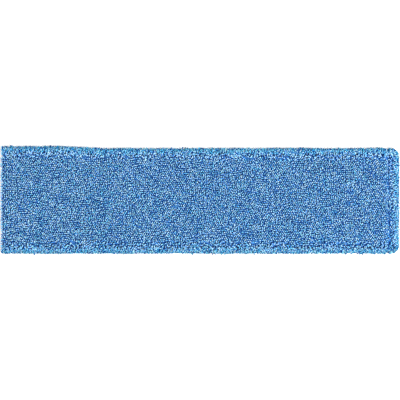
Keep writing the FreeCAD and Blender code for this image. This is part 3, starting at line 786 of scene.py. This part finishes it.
def make_threads():
    """The rows across the pad, with real dips at every stitch, then the looper, the tacks and the label."""
    top = GROUND_HIGH[2] + THREAD_RADIUS
    under = THREAD_RADIUS + 0.00005
    rows = (
        ("right_topstitch_needle", "right_topstitch_needle_thread", top, -STITCH_DEPTH),
        ("right_topstitch_bobbin", "right_topstitch_bobbin_thread", under, STITCH_DEPTH),
        ("left_closing_needle", "left_closing_needle_thread", top, -STITCH_DEPTH),
        ("left_closing_bobbin", "left_closing_bobbin_thread", under, STITCH_DEPTH),
        ("left_overlock_needle", "left_overlock_needle_thread", top, -STITCH_DEPTH),
    )
    for name, node, face, dive in rows:
        low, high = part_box(node)
        x = (low[0] + high[0]) / 2
        height = face - (press(x) if face == top else 0)
        line = stitch_line(low[1], high[1], x, height, dive)
        thread(name, [line], node, BLUE_THREAD)
    make_overlock()
    make_bartacks()
    make_label()


def make_overlock():
    """The looper thread, wound round the cut end from the pile side to the backing and back through."""
    node = "left_overlock_looper_thread"
    low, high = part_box(node)
    turns = 31
    per_turn = 28
    phase = np.arange(turns * per_turn + 1) / per_turn
    angle = 2 * math.pi * phase
    power = 0.45
    cosine, sine = np.cos(angle), np.sin(angle)
    middle_x, middle_z = (low[0] + high[0]) / 2, (low[2] + high[2]) / 2
    reach_x, reach_z = (high[0] - low[0]) / 2 - THREAD_RADIUS, (high[2] - low[2]) / 2 - THREAD_RADIUS
    x = middle_x + reach_x * np.sign(cosine) * np.abs(cosine) ** power
    z = middle_z + reach_z * np.sign(sine) * np.abs(sine) ** power
    z -= press(x) * smoothstep(middle_z, middle_z + reach_z, z)
    y = low[1] + (high[1] - low[1]) * phase / turns
    thread("left_overlock_looper", [np.column_stack([x, y, z])], node, BLUE_THREAD,
           across=(0.0, 1.0, 0.0))


def make_bartacks():
    """The dense zigzag that locks each end of the closing row, on both faces."""
    for side in ("front", "rear"):
        node = f"{side}_left_bartack"
        low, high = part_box(node)
        passes = 12
        per_pass = 8
        phase = np.arange(passes * per_pass + 1) / per_pass
        swing = np.sin(math.pi * (phase - 0.5))
        x = (low[0] + high[0]) / 2 + (high[0] - low[0]) / 2 * np.sign(swing) * np.abs(swing) ** 0.6
        y = low[1] + THREAD_RADIUS + (high[1] - low[1] - 2 * THREAD_RADIUS) * phase / passes
        upper = np.column_stack([x, y, np.full(len(x), high[2] - THREAD_RADIUS - press(CLOSING_X))])
        lower = np.column_stack([x, y, np.full(len(x), low[2] + THREAD_RADIUS)])
        thread(f"{side}_left_tack", [upper, lower], node, BLUE_THREAD,
               across=(0.0, 0.0, 1.0))


def make_label():
    """The blank label, a little rippled, and its stitches."""
    long, wide = 40, 24
    x = np.linspace(LABEL_LOW[0], LABEL_HIGH[0], long)
    y = np.linspace(LABEL_LOW[1], LABEL_HIGH[1], wide)
    grid_x, grid_y = np.meshgrid(x, y, indexing="ij")
    ripple = 0.00004 * np.sin(grid_x * 700) * np.cos(grid_y * 520)
    height = (LABEL_LOW[2] + LABEL_HIGH[2]) / 2 + ripple
    points = settle(np.stack([grid_x, grid_y, height], axis=-1).reshape(-1, 3))
    label = build_mesh("label_tape", points, [grid_faces(long, wide)], LABEL_MATERIAL)
    solid = label.modifiers.new("thickness", "SOLIDIFY")
    solid.thickness = LABEL_HIGH[2] - LABEL_LOW[2]
    solid.offset = 0
    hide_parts("blank_label")
    low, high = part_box("blank_label_thread")
    radius = (high[2] - low[2]) / 2
    lines = [stitch_line(low[1], high[1], x_row, low[2] + radius, 0.0004, pitch=0.0022)
             for x_row in (low[0] + radius, high[0] - radius)]
    thread("label_stitches", lines, "blank_label_thread", WHITE_THREAD, radius=radius)


def finish_hidden_threads():
    """The seams inside the edges keep their CAD shape and get the thread's finish."""
    for node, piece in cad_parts.items():
        if "_seam_" in node:
            piece.data.materials.clear()
            piece.data.materials.append(BLUE_THREAD if "needle" in node else WHITE_THREAD)


# ---- stage ----------------------------------------------------------------------------------------------
def make_stage():
    """A pale floor, soft light from above, and a camera that looks straight down on the pile.

    The denoiser is off, because it takes the pile's grain for noise and smears it."""
    scene = bpy.context.scene
    scene.view_settings.view_transform = "Standard"
    scene.cycles.use_denoising = False
    bpy.ops.mesh.primitive_plane_add(size=8, location=(0, 0, -0.0002))
    floor = bpy.context.object
    floor.name = "floor"
    nodes = Nodes("floor_paper", 0.9)
    nodes.shader.inputs["Base Color"].default_value = (0.85, 0.85, 0.85, 1)
    floor.data.materials.append(nodes.material)

    world = bpy.data.worlds.new("studio")
    world.use_nodes = True
    background = world.node_tree.nodes["Background"]
    background.inputs["Color"].default_value = (1, 1, 1, 1)
    background.inputs["Strength"].default_value = WORLD_STRENGTH
    scene.world = world

    def area(name, place, size, energy):
        light = bpy.data.lights.new(name, "AREA")
        light.shape = "SQUARE"
        light.size = size
        light.energy = energy
        lamp = bpy.data.objects.new(name, light)
        lamp.location = place
        lamp.rotation_euler = (-lamp.location).to_track_quat("-Z", "Y").to_euler()
        bpy.context.collection.objects.link(lamp)

    area("key", (0.62, -0.40, 1.40), 0.5, 38)
    area("fill", (-0.4, 0.8, 1.4), 1.2, 13)

    camera_data = bpy.data.cameras.new("camera")
    camera_data.lens = 100
    camera_data.sensor_width = 36
    camera = bpy.data.objects.new("camera", camera_data)
    view_width = (PILE_HIGH[0] - PILE_LOW[0]) * VIEW_TO_PAD
    distance = view_width * camera_data.lens / camera_data.sensor_width
    camera.location = (0, VIEW_MIDDLE_Y, PILE_HIGH[2] / 2 + distance)
    bpy.context.collection.objects.link(camera)
    scene.camera = camera


make_stage()
make_pile()
make_cloths()
make_foam()
make_threads()
finish_hidden_threads()
